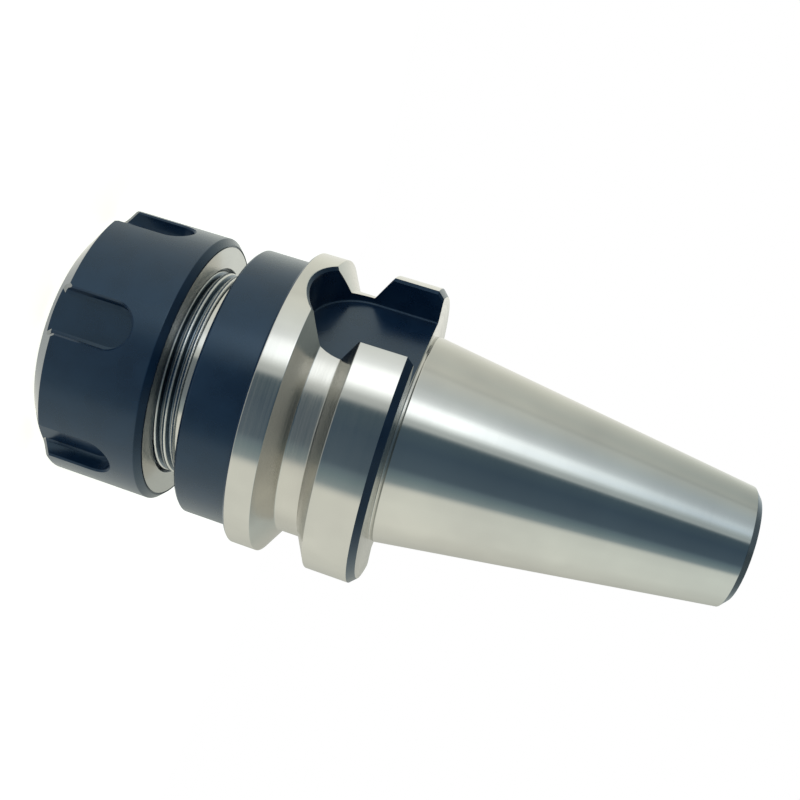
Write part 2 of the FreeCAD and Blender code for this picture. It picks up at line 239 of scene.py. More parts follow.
# Edges that are rubbed again and again turn pale and matt, and shine from every side. This pale
# steel is partly wear and partly a painted highlight along the edges.
PALE_WEAR_AND_HIGHLIGHT = bright_steel("worn_steel_and_painted_highlight", "#e4e4e0", "#eeeeea", 0.36, 0.44, TURNING_MARKS, 0.001)
BARE = [GROUND, TURNED, BLUED, LAPPED, PALE_WEAR_AND_HIGHLIGHT]
print("bare steels:", [material.name for material in BARE])


# %% [markdown]
# ## Black oxide
#
# The collar, the key slots and the nut are black oxide: a thin layer of magnetite, grown in a hot
# bath and sealed with oil. It behaves like a satin blue-black paint, dark from the front and
# bright at a glancing angle, so it isn't metallic. It could be a dark metal, but a dark metal
# stays dark at a glance. Its index of refraction, 1.6, lies between the oil's and the oxide's,
# its highlights are tinted blue, and a thin coat stands for the oil film. The marks of the lathe
# show through.

# %% Satin black oxide
OXIDE_MARKS = 0.30
OXIDE_ARC = 10.0
OXIDE_CLOUDS = 4.0


def black_oxide(name):
    """Blackened steel: dark blue-grey, satin, faintly uneven, with round marks underneath."""
    material = new_material(name)
    tree = material.node_tree
    marks = round_marks(tree, OXIDE_MARKS, OXIDE_ARC)
    place = add_node(tree, "ShaderNodeTexCoord").outputs["Object"]
    clouds = add_node(tree, "ShaderNodeTexNoise",
                      {"Vector": place, "Scale": 1 / (OXIDE_CLOUDS * MM), "Detail": 4.0})
    share = add_node(tree, "ShaderNodeMapRange",
                     {"Value": clouds.outputs[0], "From Min": 0.35, "From Max": 0.65})
    colour = add_node(tree, "ShaderNodeMix",
                      {MIX_SHARE: share.outputs[0], MIX_FIRST: linear("#081b31"),
                       MIX_SECOND: linear("#0e2239")}, **MIX_COLOURS)
    bump = add_node(tree, "ShaderNodeBump",
                    {"Height": marks, "Strength": 1.0, "Distance": 0.002 * MM})
    roughness = add_node(tree, "ShaderNodeMapRange",
                         {"Value": clouds.outputs[0], **NOISE_RANGE,
                          "To Min": 0.25, "To Max": 0.31})
    surface = add_node(tree, "ShaderNodeBsdfPrincipled",
                       {"Base Color": colour.outputs[MIX_RESULT], "IOR": 1.6,
                        "Specular Tint": linear("#a0cde8"), "Coat Weight": 0.4,
                        "Coat Roughness": 0.2, "Coat Tint": linear("#d5e6ee"),
                        "Roughness": roughness.outputs[0], "Normal": bump.outputs[0]})
    add_node(tree, "ShaderNodeOutputMaterial", {"Surface": surface.outputs[0]})
    return material


BLACK = black_oxide("satin_black_oxide")
# The collet's spring steel, tempered and ground all over, is a little darker and warmer.
SPRING = bright_steel("ground_spring_steel", "#bcbab2", "#c8c6bd", 0.22, 0.30, 0.25, 0.002)
print("and:", BLACK.name, SPRING.name)


# %% [markdown]
# ## Outlines with eased corners
#
# A turned piece is one outline carried round the axis. The outline is a closed loop of corners,
# and each corner is replaced by a small curve, because a perfectly sharp edge never catches light
# and looks drawn. A Bevel modifier could do it on the finished piece, but it gives every edge the
# same width, and here each corner has its own. Close to each curve an extra point holds the flat
# surface flat, so the smooth shading of the edge doesn't leak into it.

# %% Corners to curves
CURVE_STEPS = 4
GUARD = 0.12
MOST_OF_AN_EDGE = 0.4
GUARD_SHARE = 0.08


def eased_outline(corners):
    """Rounds a closed outline of (radius, height, easing, finish) corners.

    Each corner becomes a quadratic curve that leaves both edges where an arc of the easing radius
    would touch them. It returns the points and the finish of the edge that follows each point."""
    points = np.array([[corner[0], corner[1]] for corner in corners], float)
    easing = np.array([corner[2] for corner in corners], float)
    finish = np.array([corner[3] for corner in corners], int)
    arriving = points - np.roll(points, 1, axis=0)
    leaving = np.roll(points, -1, axis=0) - points
    length_in = np.linalg.norm(arriving, axis=1)
    length_out = np.linalg.norm(leaving, axis=1)
    way_in = arriving / length_in[:, None]
    way_out = leaving / length_out[:, None]
    turn = np.arccos(np.clip((way_in * way_out).sum(axis=1), -1, 1))
    room = MOST_OF_AN_EDGE * np.minimum(length_in, length_out)
    cut = np.minimum(easing * np.tan(turn / 2), room)
    first = points - way_in * cut[:, None]
    last = points + way_out * cut[:, None]
    share = np.linspace(0, 1, CURVE_STEPS + 1)[None, :, None]
    curve = ((1 - share) ** 2 * first[:, None] + 2 * share * (1 - share) * points[:, None]
             + share ** 2 * last[:, None])
    step_in = np.minimum(GUARD, GUARD_SHARE * length_in)
    step_out = np.minimum(GUARD, GUARD_SHARE * length_out)
    before = (first - way_in * step_in[:, None])[:, None]
    after = (last + way_out * step_out[:, None])[:, None]
    outline = np.concatenate([before, curve, after], axis=1).reshape(-1, 2)
    half_curve = CURVE_STEPS // 2
    earlier = np.repeat(np.roll(finish, 1)[:, None], 1 + half_curve, axis=1)
    later = np.repeat(finish[:, None], CURVE_STEPS - half_curve + 2, axis=1)
    return outline, np.concatenate([earlier, later], axis=1).ravel()


print("each corner becomes", CURVE_STEPS + 3, "points")


# %% [markdown]
# ## From a grid to a piece
#
# Every new surface here is an array of points in rows and columns. The faces between them need no
# loop over the points either: their corner numbers are worked out as whole arrays. Which way they
# face depends on the direction in which the outline was drawn, so the signed volume inside the
# grid decides whether all of them are turned over.

# %% Faces of a grid
def woven_faces(rows, columns, close_rows, close_columns):
    """The four-sided faces of a grid of rows and columns, joined end to end where it closes.

    The point in row i and column j has the number i times the columns, plus j."""
    row = np.arange(rows if close_rows else rows - 1)
    column = np.arange(columns if close_columns else columns - 1)
    row, column = np.meshgrid(row, column, indexing="ij")
    next_row = (row + 1) % rows
    next_column = (column + 1) % columns
    corners = [row * columns + column, next_row * columns + column,
               next_row * columns + next_column, row * columns + next_column]
    return np.stack(corners, axis=-1).reshape(-1, 4)


def enclosed_volume(points, faces):
    """Signed volume inside four-sided faces: the sum of the pyramids from each to the middle.

    From the middle, the sides of a block count the right way even without its end caps."""
    spokes = points - points.mean(axis=0)
    a, b, c, d = (spokes[faces[:, corner]] for corner in range(4))
    both_halves = np.cross(b - a, c - a) + np.cross(c - a, d - a)
    return float((a * both_halves).sum() / 6)


print("a closed grid of 3 rows and 4 columns has", len(woven_faces(3, 4, True, True)), "faces")


# %% The piece itself
def make_piece(name, points, faces, finishes, materials, caps=()):
    """Puts a grid of points (mm) into a mesh, with its faces turned outwards."""
    points = points.reshape(-1, 3)
    outward = enclosed_volume(points, faces) > 0
    faces = faces if outward else faces[:, ::-1]
    caps = [cap if outward else cap[::-1] for cap in caps]
    mesh = bpy.data.meshes.new(name)
    mesh.from_pydata((points * MM).tolist(), [], faces.tolist() + [list(cap) for cap in caps])
    for material in materials:
        mesh.materials.append(material)
    slots = np.concatenate([finishes, np.zeros(len(caps))]).astype(np.int32)
    mesh.polygons.foreach_set("material_index", slots)
    piece = bpy.data.objects.new(name, mesh)
    bpy.context.scene.collection.objects.link(piece)
    return piece


CREASE = math.radians(35.0)


def shade(piece):
    """Smooth shading that stays crisp where faces meet at more than the crease angle."""
    piece.data.shade_smooth()
    piece.data.set_sharp_from_angle(angle=CREASE)


print(f"edges stay crisp above {math.degrees(CREASE):.0f} degrees")


# %% [markdown]
# ## Turning and cutting
#
# The turned surface is one array: a row for each step of the turn and a column for each point of
# the outline. What an end mill or a saw takes out of it could be left open in the grid, but the
# rim of a slot in a round wall is a curve that no grid line follows. So the slots are closed
# blocks, and an exact boolean takes them out, which keeps each block's finish on the new walls.

# %% A turned piece
def turned_piece(name, corners, steps, materials, reshape=None):
    """Carries an eased outline round the axis: x = r cos t, y = r sin t, z = height."""
    outline, edge_finish = eased_outline(corners)
    turn = np.linspace(0, 2 * np.pi, steps, endpoint=False)[:, None]
    radius = np.repeat(outline[None, :, 0], steps, axis=0)
    height = np.repeat(outline[None, :, 1], steps, axis=0)
    if reshape is not None:
        radius = reshape(radius, height, turn)
    points = np.stack([radius * np.cos(turn), radius * np.sin(turn), height], axis=-1)
    faces = woven_faces(steps, len(outline), True, True)
    piece = make_piece(name, points, faces, np.tile(edge_finish, steps), materials)
    print(f"{name}: {steps} steps round, {len(outline)} points across")
    return piece


BAR_STEPS = 192
flat_error = FLANGE_RADIUS * (1 - math.cos(math.pi / BAR_STEPS))
print(f"{BAR_STEPS} steps keep the flange round to {flat_error:.4f} mm")


# %% Cuts with closed blocks
LEAST_LEFT = 0.5


def cut_away(piece, cutters):
    """Takes closed cutters out of a piece. The new walls keep the cutters' finishes."""
    for cutter in cutters:
        cut = piece.modifiers.new(cutter.name, "BOOLEAN")
        cut.operation = "DIFFERENCE"
        cut.solver = "EXACT"
        cut.material_mode = "TRANSFER"
        cut.object = cutter
    depsgraph = bpy.context.evaluated_depsgraph_get()
    finished = bpy.data.meshes.new_from_object(piece.evaluated_get(depsgraph))
    piece.modifiers.clear()
    if len(finished.polygons) < LEAST_LEFT * len(piece.data.polygons):
        raise RuntimeError(f"a cut spoilt {piece.name}")
    piece.data = finished
    for cutter in cutters:
        bpy.data.objects.remove(cutter)
    shade(piece)
    print(f"{piece.name}: {len(finished.polygons)} faces after {len(cutters)} cuts")


print(f"a cut that leaves under {LEAST_LEFT:.0%} of the faces has failed")


# %% [markdown]
# ## The milled slots
#
# The flange has two slots for the drive keys of the spindle, and the nut has six for its spanner.
# All are milled from the side with an end mill: parallel walls, a half-round end and a flat floor
# with a small radius left by the corner of the cutter. The block that the cutter sweeps is a grid
# again. Its rows follow the slot's outline from the floor to past the surface, and the last rows
# flare out, which leaves a chamfer along the rim that follows the curved surface.

# %% The outline of a slot
ARC_STEPS = 28


def slot_outline(half_width, round_end, open_end, side_stops):
    """A slot seen from its bearing: along one wall, round the half circle and back.

    It returns the height of each point and the way in which the outline grows there, across and
    along. A point lies half a width times its way across from the middle."""
    runs = math.copysign(1, round_end - open_end)
    centre = round_end - runs * half_width
    turn = np.linspace(0, np.pi, ARC_STEPS)
    stops = np.array([open_end, *side_stops], float)
    wall = np.ones(len(stops))
    height = np.concatenate([stops, centre + runs * half_width * np.sin(turn), stops[::-1]])
    side = np.concatenate([-wall, -np.cos(turn), wall])
    climb = np.concatenate([0 * wall, runs * np.sin(turn), 0 * wall])
    return height, side, climb


print("a slot's half circle has", ARC_STEPS, "points")

# %% [markdown]
# The nut's slots also open through its front cone. There two points of each wall are slid to
# where the cone ends at their depth, and the block widens towards the open end, so that the
# slot's mouth gets a bright chamfer of its own.

# %% The block that an end mill sweeps
# The slot's rim finish is pale worn steel: partly wear and partly a painted highlight of the edge.
DARK_WALL, BRIGHT_MOUTH, RIM_WEAR_AND_HIGHLIGHT = 0, 1, 2
SLOT_MATERIALS = [BLACK, GROUND, PALE_WEAR_AND_HIGHLIGHT]
BEYOND = 1.2
RIM_WIDTH = 0.07
HALFWAY_ROUND = 0.293
# The rim's faces follow the fifth of the seven rows, just under the surface.
RIM_ROW = 4


def milled_block(name, bearing, half_width, floor, round_end, open_end, side_stops, surface,
                 chamfer, fillet, rim=DARK_WALL, mouth=None, mouth_chamfer=0.0):
    """The closed block of one slot, in rows that are each grown by an offset at a depth.

    Three rows follow the floor's fillet, a quarter circle, of which the middle one lies 1 - cos 45
    degrees along. One ends the wall, one starts the rim and two lie past the surface. `bearing`
    (degrees) points from the axis to the slot, `surface` gives the radius of the wall at a height,
    and `mouth` the height where a cone ends at a radius."""
    height, side, climb = slot_outline(half_width, round_end, open_end, side_stops)
    across = half_width * side
    count = len(height)
    wall = np.sqrt(surface(height) ** 2 - across ** 2)
    offsets = [-fillet, -HALFWAY_ROUND * fillet, 0.0, 0.0, chamfer - RIM_WIDTH,
               chamfer + BEYOND, chamfer + BEYOND]
    depths = [floor, floor + HALFWAY_ROUND * fillet, floor + fillet, wall - chamfer,
              wall - RIM_WIDTH, wall + BEYOND, surface(height).max() + 2 * BEYOND]
    rows = []
    for offset, depth in zip(offsets, depths):
        u = across + side * offset
        z = height + climb * offset
        w = np.broadcast_to(depth, (count,)).copy()
        if mouth is not None:
            edge = mouth(np.hypot(w, half_width))
            for lip, level in ((1, edge), (2, edge + mouth_chamfer)):
                for point in (lip, count - 1 - lip):
                    z[point] = level[point]
            u[[0, 1]] -= mouth_chamfer
            u[[count - 2, count - 1]] += mouth_chamfer
        rows.append(np.stack([u, w, z], axis=-1))
    local = np.array(rows)
    angle = math.radians(bearing)
    x = -local[..., 0] * math.sin(angle) + local[..., 1] * math.cos(angle)
    y = local[..., 0] * math.cos(angle) + local[..., 1] * math.sin(angle)
    points = np.stack([x, y, local[..., 2]], axis=-1)
    faces = woven_faces(len(rows), count, False, True)
    finishes = np.full((len(rows) - 1, count), DARK_WALL)
    if mouth is not None:
        finishes[:, [0, 1, count - 3, count - 2]] = BRIGHT_MOUTH
    finishes[RIM_ROW] = rim
    last = (len(rows) - 1) * count
    caps = [list(range(count))[::-1], list(range(last, last + count))]
    return make_piece(name, points, faces, finishes.ravel(), SLOT_MATERIALS, caps)


print("slot finishes:", [material.name for material in SLOT_MATERIALS])

# %% [markdown]
# ## The cones that the pieces share
#
# The collet sits between two cones: a steep one on its head, which the nut presses on, and a slow
# one of 8 degrees along its body, which the seat in the nose squeezes. Between them runs a groove
# for the nut's lip. The seat and the nut follow the collet, so its sizes come before theirs.

# %% Sizes of the collet
COLLET_FACE_RADIUS = 11.0
COLLET_HEAD_RADIUS = 13.0
HEAD_CONE = math.tan(math.radians(30))
HEAD_LAND = 0.9
LIP_THICKNESS = 1.6
LIP_PLAY = 0.6
SHOULDER_RADIUS = 12.8
SEAT_CONE = math.tan(math.radians(8))
HEAD_CONE_END = COLLET_FACE + (COLLET_HEAD_RADIUS - COLLET_FACE_RADIUS) / HEAD_CONE
HEAD_END = HEAD_CONE_END + HEAD_LAND
SHOULDER = HEAD_END + LIP_THICKNESS + 2 * LIP_PLAY


def collet_radius(height):
    """Radius of the seating cone: it loses tan 8 degrees of each mm above the shoulder."""
    return SHOULDER_RADIUS - (height - SHOULDER) * SEAT_CONE


print(f"collet: shoulder at {SHOULDER:.2f}, tail {2 * collet_radius(COLLET_BACK):.2f} mm across")

# %% [markdown]
# ## The chuck body
#
# On the real holder this is one bar of alloy steel: turned, milled, hardened, blackened all over
# and then ground wherever it has to run true, which is why the collar, the slots and the small
# chamfers stay dark. Beside the flange the taper ends in a shallow rounded step. The bar could be
# several rings set on each other, but one outline carries all of it without a seam, and every
# edge of the outline names its finish.

# %% The outside of the bar
ground, turned, black, blued = 0, 1, 2, 3
BODY_MATERIALS = [GROUND, TURNED, BLACK, BLUED]
END_CHAMFER = 1.0
RING_CHAMFER = 1.0
FRONT_CHAMFER = 0.3
COLLAR_CHAMFER = 0.4
PILOT_RADIUS = 6.25
PILOT_CHAMFER = 0.5
STEP_RADIUS = GAUGE_RADIUS + 0.1
STEP_TOP = FLANGE_BACK + 0.6
FLANK = (FLANGE_RADIUS - GROOVE_RADIUS) * math.tan(math.radians(30))
GROOVE_BACK = GROOVE_MIDDLE + GROOVE_HALF_WIDTH
GROOVE_FRONT = GROOVE_MIDDLE - GROOVE_HALF_WIDTH

# Each corner is a radius, a height, an easing and the finish of the edge that follows.
outside = [
    (PILOT_RADIUS + PILOT_CHAMFER, SMALL_END, 0.05, black),
    (SMALL_RADIUS - END_CHAMFER, SMALL_END, 0.15, blued),
    (SMALL_RADIUS + END_CHAMFER * TAPER_SLOPE, SMALL_END - END_CHAMFER, 0.10, ground),
    (GAUGE_RADIUS - STEP_TOP * TAPER_SLOPE, STEP_TOP, 0.2, turned),
    (STEP_RADIUS, STEP_TOP - 0.2, 0.2, turned),
    (STEP_RADIUS, FLANGE_BACK, 0.2, turned),
    (FLANGE_RADIUS - RING_CHAMFER, FLANGE_BACK, 0.10, black),
    (FLANGE_RADIUS, FLANGE_BACK - RING_CHAMFER, 0.10, ground),
    (FLANGE_RADIUS, GROOVE_BACK, 0.12, turned),
    (GROOVE_RADIUS, GROOVE_BACK - FLANK, 0.25, turned),
    (GROOVE_RADIUS, GROOVE_FRONT + FLANK, 0.25, turned),
    (FLANGE_RADIUS, GROOVE_FRONT, 0.12, ground),
    (FLANGE_RADIUS, FLANGE_FRONT + FRONT_CHAMFER, 0.15, black),
    (FLANGE_RADIUS - FRONT_CHAMFER, FLANGE_FRONT, 0.05, black),
    (COLLAR_RADIUS, FLANGE_FRONT, 0.15, black),
    (COLLAR_RADIUS, COLLAR_FRONT + COLLAR_CHAMFER, 0.10, black),
    (COLLAR_RADIUS - COLLAR_CHAMFER, COLLAR_FRONT, 0.10, ground),
    (RELIEF_RADIUS, COLLAR_FRONT, 0.3, ground),
    (RELIEF_RADIUS, RELIEF_END, 0.05, blued),
    (THREAD_CORE, RELIEF_END - 0.05, 0.02, blued),
    (THREAD_CORE, NOSE_END + 0.1, 0.05, blued),
    (THREAD_CORE - 0.1, NOSE_END, 0.05, ground),
]
print("outside of the bar:", len(outside), "corners")

# %% [markdown]
# Inside, from the nose: the seat of the collet, a plain room for the end of a long shank, a
# through bore with the cone of a drill at both ends, and the hole for the pull stud.

# %% The bores
SEAT_GAP = 0.04
SEAT_END = COLLET_BACK + 1.5
ROOM_BOTTOM = -8.0
THROUGH_RADIUS = 4.0
STUD_RADIUS = 5.1
STUD_BOTTOM = SMALL_END - 34.0
PILOT_BOTTOM = SMALL_END - 7.0
DRILL_POINT = math.tan(math.radians(59))
ROOM_RADIUS = collet_radius(SEAT_END) + SEAT_GAP
ROOM_POINT = ROOM_BOTTOM + (ROOM_RADIUS - THROUGH_RADIUS) / DRILL_POINT
STUD_POINT = STUD_BOTTOM - (STUD_RADIUS - THROUGH_RADIUS) / DRILL_POINT
bores = [
    (collet_radius(NOSE_END) + SEAT_GAP, NOSE_END, 0.2, ground),
    (ROOM_RADIUS, SEAT_END, 0.1, black),
    (ROOM_RADIUS, ROOM_BOTTOM, 0.3, black),
    (THROUGH_RADIUS, ROOM_POINT, 0.2, black),
    (THROUGH_RADIUS, STUD_POINT, 0.1, black),
    (STUD_RADIUS, STUD_BOTTOM, 0.1, black),
    (STUD_RADIUS, PILOT_BOTTOM - (PILOT_RADIUS - STUD_RADIUS), 0.1, black),
    (PILOT_RADIUS, PILOT_BOTTOM, 0.1, ground),
    (PILOT_RADIUS, SMALL_END - PILOT_CHAMFER, 0.05, black),
]
chuck = turned_piece("turned_chuck_body", outside + bores, BAR_STEPS, BODY_MATERIALS)


# %% [markdown]
# The two key slots are milled into the rings from both sides. Their floors and walls are black,
# and along the rims a thin pale line is partly wear from the keys of the spindle and partly a
# painted highlight of the edge.

# %% The drive-key slots
KEY_HALF_WIDTH = 8.05
KEY_FLOOR = 16.3
KEY_END = -19.5
KEY_OPEN_END = 0.6


def flange_surface(height):
    """Radius of the flange: its ring, less the chamfer at the back edge."""
    return FLANGE_RADIUS - np.clip(height - (FLANGE_BACK - RING_CHAMFER), 0, RING_CHAMFER)


key_stops = [FLANGE_BACK, FLANGE_BACK - RING_CHAMFER / 2, FLANGE_BACK - RING_CHAMFER]
key_slots = [
    milled_block(f"key_slot_{side}", bearing, KEY_HALF_WIDTH, KEY_FLOOR, KEY_END, KEY_OPEN_END,
                 key_stops, flange_surface, chamfer=0.5, fillet=0.35, rim=RIM_WEAR_AND_HIGHLIGHT)
    for side, bearing in (("front", -90), ("back", 90))
]
cut_away(chuck, key_slots)
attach(chuck, "chuck")
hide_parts("chuck_body")

# %% [markdown]
# ## The nose thread
#
# The thread is M32 x 1.5, right-hand. It is a low ridge with 60 degree flanks and a flat crest,
# carried along a helix on the plain core of the nose. A bump pattern would be quicker, but its
# crests wouldn't stand out against the collar behind them. So the ridge is its own closed
# surface: a row for each step along the helix and a column for each corner of the ridge.
#
# The crest keeps its black oxide, the flanks are blued, and the two edges of the crest, which the
# nut rubs on, are worn round. Their pale steel is partly wear and partly a painted highlight,
# which draws the thin light lines of the thread. At both ends the ridge sinks back into the core,
# as a real thread does where the tool runs in and out.

# %% The section of the ridge
THREAD_DEPTH = CREST_RADIUS - THREAD_CORE
CREST_HALF_FLAT = 0.29
FLANK_WIDTH = THREAD_DEPTH * math.tan(math.radians(30))
SUNK = 0.2
# How far outside the crest's edge a worn point lies, and how far below the crest.
WORN_EDGE = np.array([[0.09, 0.15], [0.015, 0.06], [-0.07, 0.015], [-0.15, 0.0]])

half_base = CREST_HALF_FLAT + FLANK_WIDTH
edge_offset = CREST_HALF_FLAT + WORN_EDGE[:, 0]
ridge_offset = np.concatenate([[-half_base], -edge_offset, edge_offset[::-1], [half_base]])
ridge_drop = np.concatenate([WORN_EDGE[:, 1], WORN_EDGE[::-1, 1]])
ridge_rise = np.concatenate([[-SUNK], THREAD_DEPTH - ridge_drop, [-SUNK]])
# From flank to flank: blued, worn edge, black crest, worn edge, blued, and the underside.
# The worn edges are pale steel, partly wear and partly a painted highlight.
ridge_finish = np.array([0, 2, 2, 2, 1, 2, 2, 2, 0, 0])
RIDGE_MATERIALS = [BLUED, BLACK, PALE_WEAR_AND_HIGHLIGHT]
print(f"ridge {THREAD_DEPTH:.2f} mm high and {2 * half_base:.2f} mm wide at its base")

# %% The ridge along a helix
STEPS_A_TURN = 120
CREST_AT_X = -32.625
RUN_OUT_TURNS = 0.12
LEAST_RISE = 0.02
CUT_OFF_SLOPE = 0.03


def thread_ridge(name, low, high):
    """Carries the ridge along a helix: its height rises one pitch for each turn to the left.

    Past the relief's edge the ridge is cut off square, as the relief tool leaves it."""
    turns = (high - low) / PITCH
    along = np.linspace(0, turns, int(turns * STEPS_A_TURN))
    from_end = np.minimum(along, turns - along)
    fade = np.clip(from_end / RUN_OUT_TURNS, LEAST_RISE, 1)[:, None]
    crest = low + along[:, None] * PITCH
    angle = 2 * np.pi * (crest - CREST_AT_X) / PITCH
    radius = THREAD_CORE + np.where(ridge_rise > 0, ridge_rise * fade, ridge_rise)
    height = crest + ridge_offset
    past = height - RELIEF_END
    height = np.where(past > 0, RELIEF_END + CUT_OFF_SLOPE * past, height)
    points = np.stack([radius * np.cos(angle), radius * np.sin(angle), height], axis=-1)
    columns = len(ridge_offset)
    faces = woven_faces(len(along), columns, False, True)
    last = (len(along) - 1) * columns
    caps = [list(range(columns))[::-1], list(range(last, last + columns))]
    finishes = np.tile(ridge_finish, len(along) - 1)
    ridge = make_piece(name, points, faces, finishes, RIDGE_MATERIALS, caps)
    shade(ridge)
    print(f"{name}: {turns:.1f} turns from {low:.2f} to {high:.2f} mm")
    return ridge


FIRST_CREST = NOSE_END + 0.8
LAST_CREST = -32.3
ridge = thread_ridge("nose_thread", FIRST_CREST, LAST_CREST)
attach(ridge, "chuck")

# %% [markdown]
# ## The clamping nut
#
# The nut is turned and blackened. Then its front cone is ground bright and its back face is
# lapped flat, up to a narrow dark groove that is left beside the chamfer. Inside, a steep cone
# presses on the collet, and an eccentric lip hooks into the collet's groove to pull it free when
# the nut is undone. The lip is the only part that isn't round about the axis, so the turned
# surface takes one small function that moves those points outwards.

# %% Sizes of the nut
NUT_RADIUS = 21.0
NUT_FACE_RADIUS = 17.0
FRONT_CONE = math.tan(math.radians(36.5))
FRONT_CONE_END = NUT_FACE + (NUT_RADIUS - NUT_FACE_RADIUS) * FRONT_CONE
BORE_RADIUS = CREST_RADIUS + 0.05
BORE_CHAMFER = 0.5
NUT_ROOM_RADIUS = 14.8
THREAD_RUNOUT = 2.4
BACK_CHAMFER = 0.9
DARK_GROOVE_WIDTH = 0.25
DARK_GROOVE_DEPTH = 0.2
POCKET_RADIUS = COLLET_HEAD_RADIUS + 0.4
LIP_OPENING = 13.2
LIP_OFFSET = 0.9
LIP_RADIUS = LIP_OPENING - LIP_OFFSET
LIP_LOW = HEAD_END + LIP_PLAY
LIP_HIGH = LIP_LOW + LIP_THICKNESS
NUT_STEP = LIP_HIGH + THREAD_RUNOUT
CONE_GAP = 0.08
MOUTH_LAND = 0.8
NUT_CONE_FOOT = COLLET_FACE_RADIUS + CONE_GAP
MOUTH_RADIUS = NUT_CONE_FOOT + (NUT_FACE + MOUTH_LAND - COLLET_FACE) * HEAD_CONE
CONE_TOP = COLLET_FACE + (POCKET_RADIUS - NUT_CONE_FOOT) / HEAD_CONE
NUT_BEARING = -90 + 42.0
print(f"lip from {LIP_LOW:.2f} to {LIP_HIGH:.2f} mm, mouth {2 * MOUTH_RADIUS:.2f} mm across")

# %% The turned nut
lapped = 1
NUT_MATERIALS = [GROUND, LAPPED, BLACK]
chamfer_radius = NUT_RADIUS - BACK_CHAMFER
lapped_radius = chamfer_radius - DARK_GROOVE_WIDTH
groove_floor = NUT_BACK - DARK_GROOVE_DEPTH
nut_corners = [
    (MOUTH_RADIUS, NUT_FACE, 0.2, ground),
    (NUT_FACE_RADIUS, NUT_FACE, 0.10, ground),
    (NUT_RADIUS, FRONT_CONE_END, 0.10, black),
    (NUT_RADIUS, NUT_BACK - BACK_CHAMFER, 0.14, black),
    (chamfer_radius, NUT_BACK, 0.04, black),
    (chamfer_radius, groove_floor, 0.03, black),
    (lapped_radius, groove_floor, 0.03, black),
    (lapped_radius, NUT_BACK, 0.04, lapped),
    (BORE_RADIUS + BORE_CHAMFER, NUT_BACK, 0.08, black),
    (BORE_RADIUS, NUT_BACK - BORE_CHAMFER, 0.08, black),
    (BORE_RADIUS, NUT_STEP, 0.1, black),
    (NUT_ROOM_RADIUS, NUT_STEP, 0.1, black),
    (NUT_ROOM_RADIUS, LIP_HIGH, 0.1, black),
    (LIP_RADIUS, LIP_HIGH, 0.1, ground),
    (LIP_RADIUS, LIP_LOW, 0.1, ground),
    (POCKET_RADIUS, LIP_LOW, 0.1, black),
    (POCKET_RADIUS, CONE_TOP, 0.2, ground),
    (MOUTH_RADIUS, NUT_FACE + MOUTH_LAND, 0.1, ground),
]


def eccentric_lip(radius, height, turn):
    """The lip's points move out to a circle that is off the axis, but never past the pocket.

    Seen from the axis, a circle of radius R that is off by e lies e cos b + root(R2 - e2 sin2 b)
    away at a bearing b."""
    bearing = turn - math.radians(NUT_BEARING + 90)
    offside = np.sqrt(LIP_OPENING ** 2 - (LIP_OFFSET * np.sin(bearing)) ** 2)
    opening = np.minimum(LIP_OFFSET * np.cos(bearing) + offside, POCKET_RADIUS - 0.01)
    on_lip = (height > LIP_LOW - 0.01) & (height < LIP_HIGH + 0.01) & (radius < POCKET_RADIUS)
    return np.where(on_lip, np.maximum(radius, opening + (radius - LIP_RADIUS)), radius)


nut = turned_piece("turned_clamping_nut", nut_corners, BAR_STEPS, NUT_MATERIALS, eccentric_lip)


# %% [markdown]
# The spanner's teeth fit six round-ended slots. They are deep enough to cut the bright front cone
# into petals, so each of them opens through the cone with a small bright chamfer.

# %% The spanner slots
SPANNER_SLOTS = 6
SPANNER_HALF_WIDTH = 3.45
SPANNER_FLOOR = 18.5
SPANNER_END = NUT_FACE + 13.8


def nut_surface(height):
    """Radius of the nut's wall, the same at every height."""
    return np.full_like(height, NUT_RADIUS)


def front_cone(radius):
    """Height of the nut's front cone at a radius: it rises by tan 36.5 degrees."""
    return NUT_FACE + (radius - NUT_FACE_RADIUS) * FRONT_CONE


spanner_slots = [
    milled_block(f"spanner_slot_{number}", NUT_BEARING + 360 / SPANNER_SLOTS * number,
                 SPANNER_HALF_WIDTH, SPANNER_FLOOR, SPANNER_END, NUT_FACE - 1.0,
                 [NUT_FACE + 1.5, NUT_FACE + 3.0], nut_surface, chamfer=0.3, fillet=0.7,
                 mouth=front_cone, mouth_chamfer=0.5)
    for number in range(SPANNER_SLOTS)
]
cut_away(nut, spanner_slots)
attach(nut, "nut")
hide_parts("clamping_nut")

# %% [markdown]
# ## The slit collet
#
# The collet is the skilled piece: a double cone of spring steel, slit from both ends in turn, so
# that it closes evenly on the shank. The outline is turned like the others. The sixteen slits are
# thin closed blocks, eight from the front and eight from the back, half a step apart.

# %% The turned collet
SHANK_RADIUS = 6.0
SHANK_CHAMFER = 0.4
COLLET_GROOVE = LIP_RADIUS - 0.5
spring = 0
collet_corners = [
    (SHANK_RADIUS + SHANK_CHAMFER, COLLET_FACE, 0.05, spring),
    (COLLET_FACE_RADIUS, COLLET_FACE, 0.15, spring),
    (COLLET_HEAD_RADIUS, HEAD_CONE_END, 0.15, spring),
    (COLLET_HEAD_RADIUS, HEAD_END, 0.10, spring),
    (COLLET_GROOVE, HEAD_END, 0.2, spring),
    (COLLET_GROOVE, SHOULDER, 0.2, spring),
    (SHOULDER_RADIUS, SHOULDER, 0.10, spring),
    (collet_radius(COLLET_BACK), COLLET_BACK, 0.10, spring),
    (SHANK_RADIUS, COLLET_BACK, 0.10, spring),
    (SHANK_RADIUS, COLLET_FACE + SHANK_CHAMFER, 0.05, spring),
]
collet = turned_piece("slit_collet", collet_corners, 160, [SPRING])

# %% The slits
SLITS = 8
HALF_SLIT = 0.45
SLIT_START = 2.6
PAST_HEAD = 14.5
SLIT_STOP = 5.0


